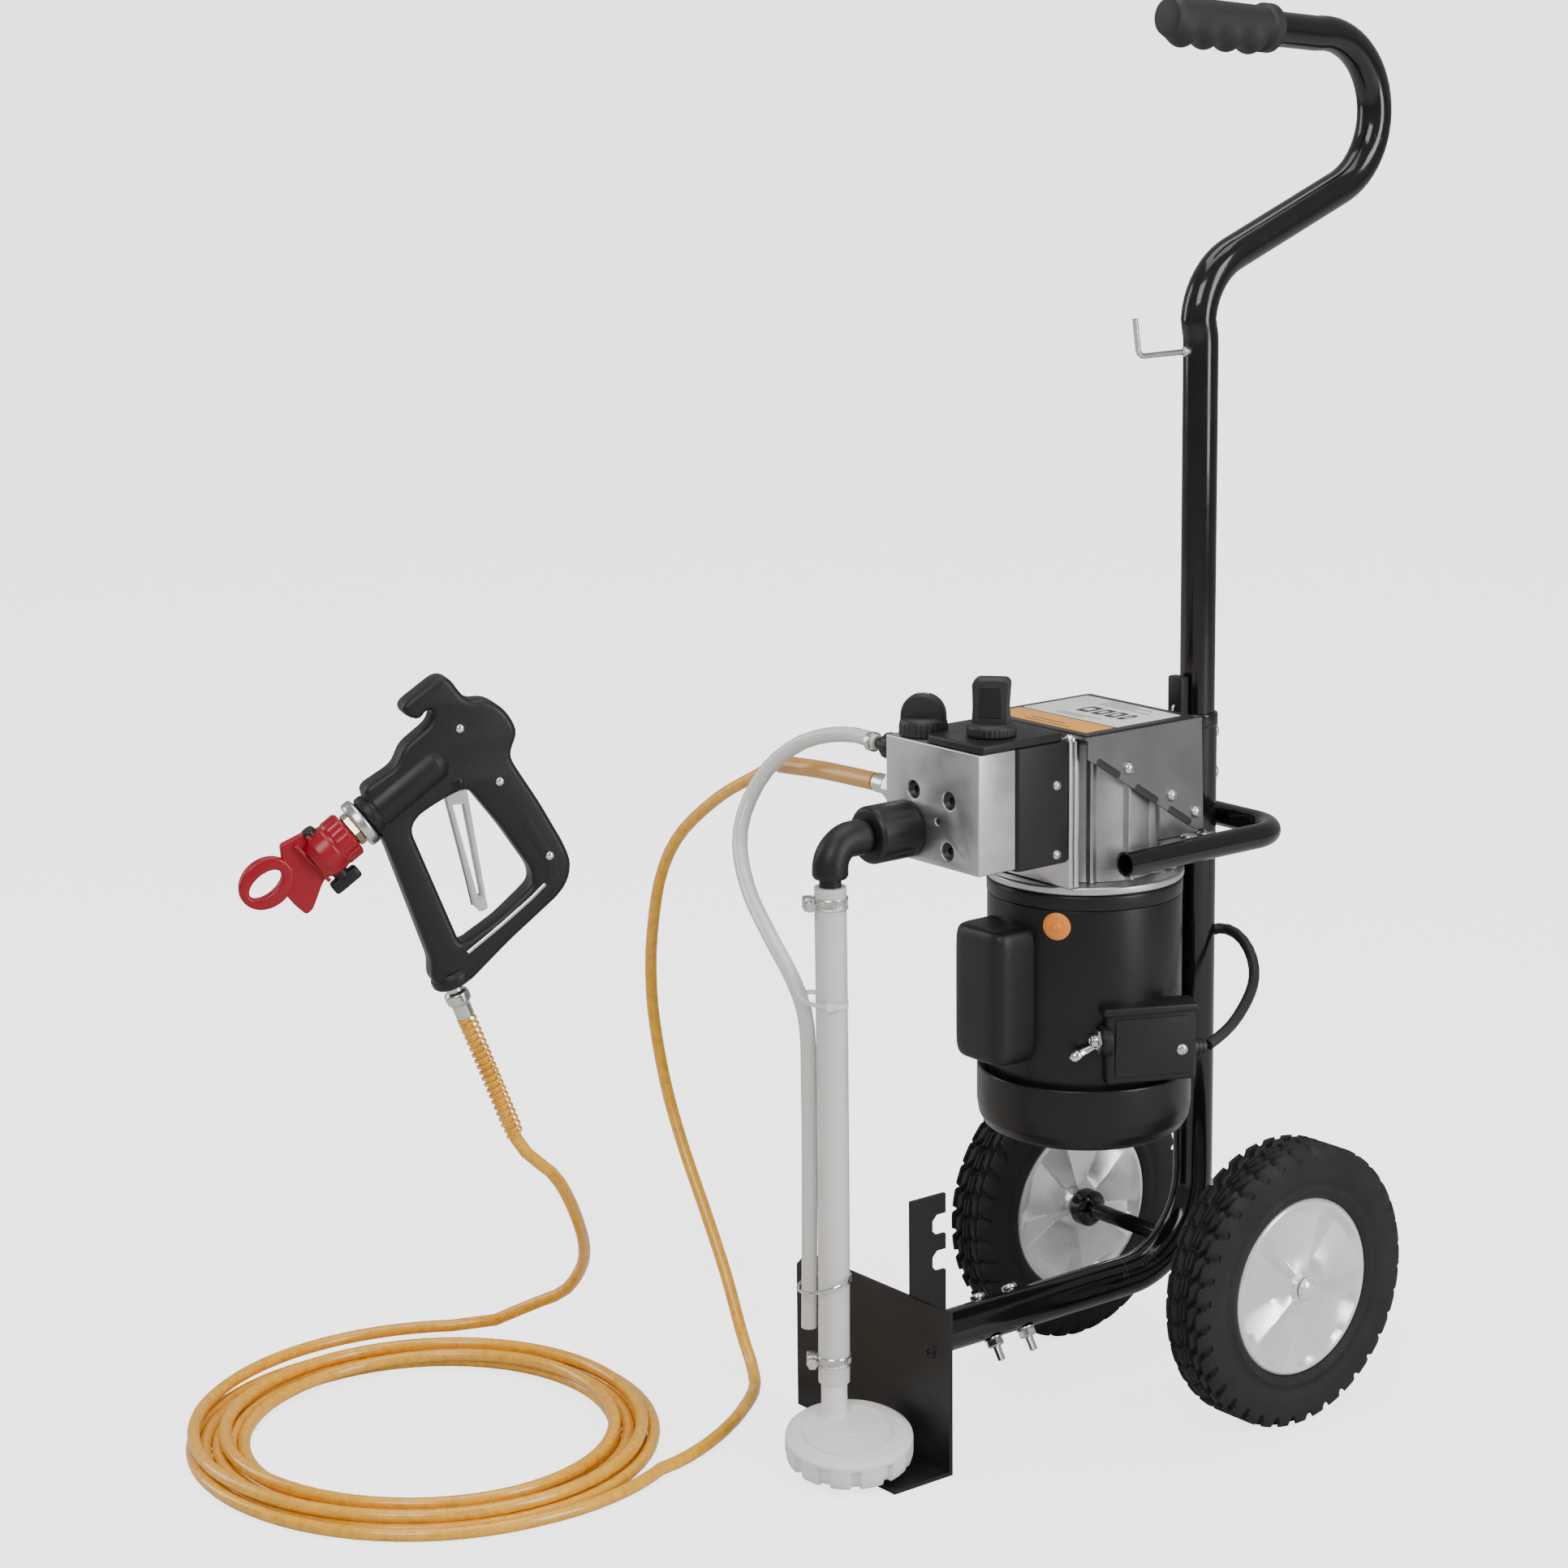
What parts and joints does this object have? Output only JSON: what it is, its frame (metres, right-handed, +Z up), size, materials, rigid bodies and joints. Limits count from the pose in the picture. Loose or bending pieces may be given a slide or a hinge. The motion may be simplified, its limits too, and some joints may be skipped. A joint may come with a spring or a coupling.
{
  "type": "airless paint sprayer",
  "caption": "Upright airless paint sprayer on a two-wheeled cart, with an electric piston pump, a suction tube, a coiled high-pressure hose and a trigger spray gun.",
  "frame": {"origin": "middle of the foot flange's underside, on the floor, on the cart's centre plane", "axes": "+Z up, -Y towards the foot flange and the pump's front, +X towards the switch box side"},
  "size_m": [0.5493, 0.8761, 0.9973],
  "materials": {
    "black_enamel": "gloss black enamel",
    "black_sheet": "satin black sheet steel",
    "black_plastic": "moulded black plastic",
    "rubber": "black rubber",
    "tyre": "solid rubber tyre",
    "hub_plastic": "white hub plastic",
    "aluminium": "machined aluminium",
    "casting": "cast aluminium",
    "zinc": "zinc plated steel",
    "grey_sheet": "grey sheet steel",
    "label": "printed label",
    "orange_plastic": "orange cap",
    "red_plastic": "red guard plastic",
    "amber_hose": "clear amber hose cover",
    "clear_tube": "clear vinyl tube",
    "strainer_plastic": "off-white moulded plastic",
    "copper": "lacquered copper windings"
  },
  "bodies": {
    "sprayer": {"axle": "black_enamel", "capacitor_cover": "black_plastic", "cover_screw_1": "zinc", "cover_screw_2": "zinc", "cover_screw_3": "zinc", "foot_bolt_front": "zinc", "foot_bolt_rear": "zinc", "foot_plate": "black_sheet", "frame_tube": "black_enamel", "gearbox_case": "casting", "gearbox_cover": "grey_sheet", "gun_body": "black_plastic", "gun_nozzle": "zinc", "gun_swivel": "zinc", "handle_grip": "rubber", "handle_tube": "black_enamel", "hose_coil": "amber_hose", "hose_fitting": "zinc", "hose_gun": "amber_hose", "hose_sleeve": "amber_hose", "hose_up": "amber_hose", "joint_bolt_lower": "zinc", "joint_bolt_upper": "zinc", "joint_clamp": "black_plastic", "label_plate": "label", "manifold": "aluminium", "motor_bell": "black_enamel", "motor_end_bell": "black_enamel", "motor_shell": "black_enamel", "overload_cap": "orange_plastic", "piston": "zinc", "power_cord": "rubber", "power_cord_coil": "rubber", "power_cord_tail": "rubber", "power_plug": "rubber", "pump_housing": "black_plastic", "rack_tube": "black_enamel", "return_barb": "black_plastic", "return_tube": "clear_tube", "spring_guard": "amber_hose", "stator": "copper", "strainer": "strainer_plastic", "suction_elbow": "black_plastic", "suction_nut": "black_plastic", "suction_tube": "clear_tube", "switch_box": "black_plastic", "valve_cover": "black_plastic", "wire_hook": "zinc"},
    "wheel_near": {"hub_near": "hub_plastic", "tyre_near": "tyre"},
    "wheel_far": {"hub_far": "hub_plastic", "tyre_far": "tyre"},
    "rotor": {"rotor": "zinc", "cooling_fan": "black_plastic"},
    "prime_knob": {"prime_knob": "black_plastic"},
    "pressure_knob": {"pressure_knob": "black_plastic"},
    "toggle_lever": {"toggle_lever": "zinc"},
    "trigger": {"trigger": "zinc"},
    "tip_guard": {"tip_guard": "red_plastic"},
    "spray_tip": {"spray_tip": "black_plastic"}
  },
  "joints": [
    {"name": "wheel_near_spin", "type": "hinge", "parent": "sprayer", "child": "wheel_near", "pos_m": [0.1135, 0.2755, 0.1016], "axis": [1, 0, 0], "continuous": true},
    {"name": "wheel_far_spin", "type": "hinge", "parent": "sprayer", "child": "wheel_far", "pos_m": [-0.1135, 0.2755, 0.1016], "axis": [1, 0, 0], "continuous": true},
    {"name": "rotor_spin", "type": "hinge", "parent": "sprayer", "child": "rotor", "pos_m": [0, 0.1869, 0.3], "axis": [0, 0, 1], "continuous": true},
    {"name": "prime_knob_turn", "type": "hinge", "parent": "sprayer", "child": "prime_knob", "pos_m": [-0.03, 0.0645, 0.5023], "axis": [0, 0, 1], "range_deg": [0, 90]},
    {"name": "pressure_knob_turn", "type": "hinge", "parent": "sprayer", "child": "pressure_knob", "pos_m": [0.024, 0.0785, 0.5083], "axis": [0, 0, 1], "range_deg": [0, 270]},
    {"name": "toggle_throw", "type": "hinge", "parent": "sprayer", "child": "toggle_lever", "pos_m": [0.06195, 0.15001, 0.29], "axis": [0.9063, -0.4226, 0], "range_deg": [-48, 0]},
    {"name": "trigger_pull", "type": "hinge", "parent": "sprayer", "child": "trigger", "pos_m": [-0.2253, -0.1904, 0.4739], "axis": [0.95, -0.3123, 0], "range_deg": [0, 12], "stiffness_Nm_per_rad": 0.8, "springref_deg": -2.86},
    {"name": "tip_guard_turn", "type": "hinge", "parent": "sprayer", "child": "tip_guard", "pos_m": [-0.24467, -0.2493, 0.4529], "axis": [-0.2527, -0.7686, -0.5878], "range_deg": [-90, 90]},
    {"name": "spray_tip_turn", "type": "hinge", "parent": "tip_guard", "child": "spray_tip", "pos_m": [-0.25387, -0.27728, 0.4315], "axis": [-0.1836, -0.5584, 0.809], "range_deg": [0, 180]}
  ]
}
